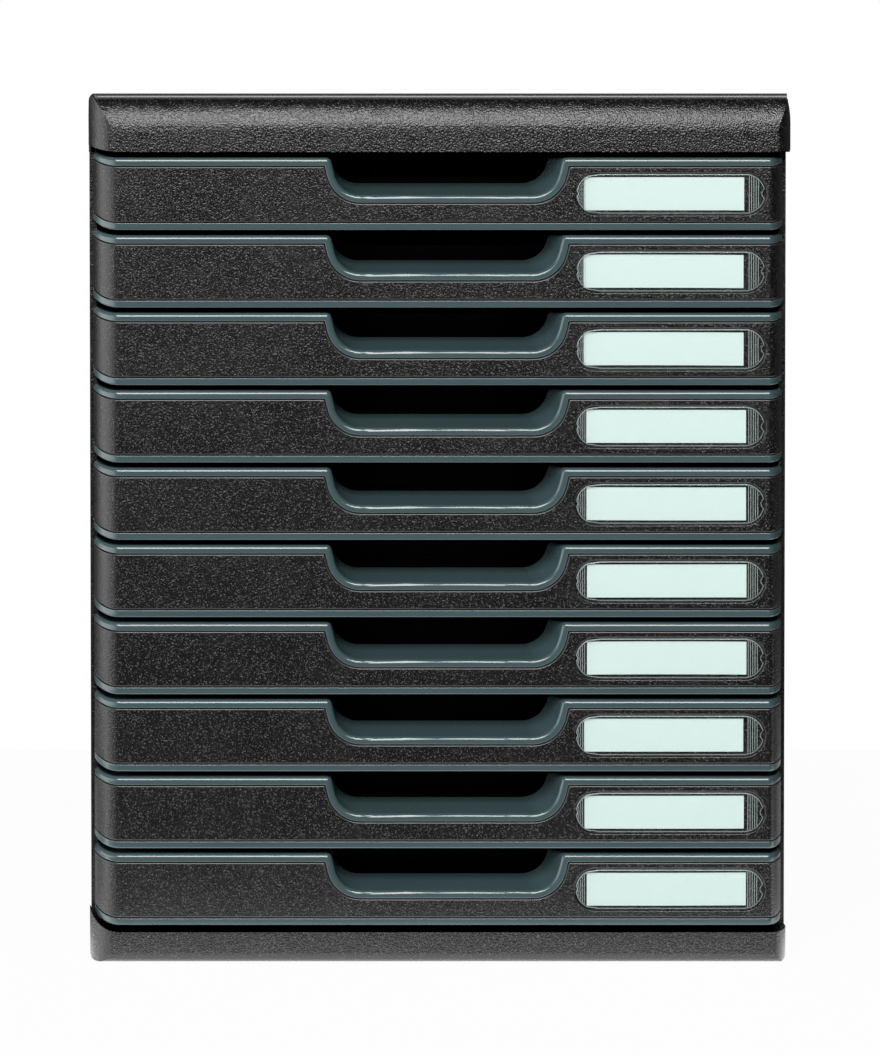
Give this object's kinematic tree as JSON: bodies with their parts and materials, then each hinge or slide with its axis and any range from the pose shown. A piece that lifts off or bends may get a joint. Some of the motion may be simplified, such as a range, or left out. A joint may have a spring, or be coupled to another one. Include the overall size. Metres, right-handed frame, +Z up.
{
  "type": "desktop drawer unit",
  "caption": "Desktop drawer unit: moulded casing with a stack of shallow sliding trays, each with a grip notch and a clear label window on its front.",
  "frame": {"origin": "middle of the base, at the level that the feet stand on", "axes": "+Z up, the drawers open towards -Y, +X to the right of someone who faces the drawers"},
  "size_m": [0.2936, 0.35, 0.3616],
  "materials": {
    "casing_black": "fine leather grain, satin",
    "panel_black": "sand grain, satin",
    "tray_grey": "smooth moulded",
    "window_clear": "clear moulded",
    "label_paper": "smooth card",
    "foot_rubber": "matt"
  },
  "bodies": {
    "casing": {"top_cover": "casing_black", "bottom_cover": "casing_black", "side_panel_left": "casing_black", "side_panel_right": "casing_black", "back_panel": "casing_black", "foot_front_left": "foot_rubber", "foot_front_right": "foot_rubber", "foot_rear_left": "foot_rubber", "foot_rear_right": "foot_rubber"},
    "drawer_01": {"tray_01": "tray_grey", "front_panel_01": "panel_black", "label_card_01": "label_paper", "label_window_01": "window_clear"},
    "drawer_02": {"tray_02": "tray_grey", "front_panel_02": "panel_black", "label_card_02": "label_paper", "label_window_02": "window_clear"},
    "drawer_03": {"tray_03": "tray_grey", "front_panel_03": "panel_black", "label_card_03": "label_paper", "label_window_03": "window_clear"},
    "drawer_04": {"tray_04": "tray_grey", "front_panel_04": "panel_black", "label_card_04": "label_paper", "label_window_04": "window_clear"},
    "drawer_05": {"tray_05": "tray_grey", "front_panel_05": "panel_black", "label_card_05": "label_paper", "label_window_05": "window_clear"},
    "drawer_06": {"tray_06": "tray_grey", "front_panel_06": "panel_black", "label_card_06": "label_paper", "label_window_06": "window_clear"},
    "drawer_07": {"tray_07": "tray_grey", "front_panel_07": "panel_black", "label_card_07": "label_paper", "label_window_07": "window_clear"},
    "drawer_08": {"tray_08": "tray_grey", "front_panel_08": "panel_black", "label_card_08": "label_paper", "label_window_08": "window_clear"},
    "drawer_09": {"tray_09": "tray_grey", "front_panel_09": "panel_black", "label_card_09": "label_paper", "label_window_09": "window_clear"},
    "drawer_10": {"tray_10": "tray_grey", "front_panel_10": "panel_black", "label_card_10": "label_paper", "label_window_10": "window_clear"}
  },
  "joints": [
    {"name": "drawer_01_slide", "type": "slide", "parent": "casing", "child": "drawer_01", "axis": [0, -1, 0], "range_m": [0, 0.23]},
    {"name": "drawer_02_slide", "type": "slide", "parent": "casing", "child": "drawer_02", "axis": [0, -1, 0], "range_m": [0, 0.23]},
    {"name": "drawer_03_slide", "type": "slide", "parent": "casing", "child": "drawer_03", "axis": [0, -1, 0], "range_m": [0, 0.23]},
    {"name": "drawer_04_slide", "type": "slide", "parent": "casing", "child": "drawer_04", "axis": [0, -1, 0], "range_m": [0, 0.23]},
    {"name": "drawer_05_slide", "type": "slide", "parent": "casing", "child": "drawer_05", "axis": [0, -1, 0], "range_m": [0, 0.23]},
    {"name": "drawer_06_slide", "type": "slide", "parent": "casing", "child": "drawer_06", "axis": [0, -1, 0], "range_m": [0, 0.23]},
    {"name": "drawer_07_slide", "type": "slide", "parent": "casing", "child": "drawer_07", "axis": [0, -1, 0], "range_m": [0, 0.23]},
    {"name": "drawer_08_slide", "type": "slide", "parent": "casing", "child": "drawer_08", "axis": [0, -1, 0], "range_m": [0, 0.23]},
    {"name": "drawer_09_slide", "type": "slide", "parent": "casing", "child": "drawer_09", "axis": [0, -1, 0], "range_m": [0, 0.23]},
    {"name": "drawer_10_slide", "type": "slide", "parent": "casing", "child": "drawer_10", "axis": [0, -1, 0], "range_m": [0, 0.23]}
  ]
}
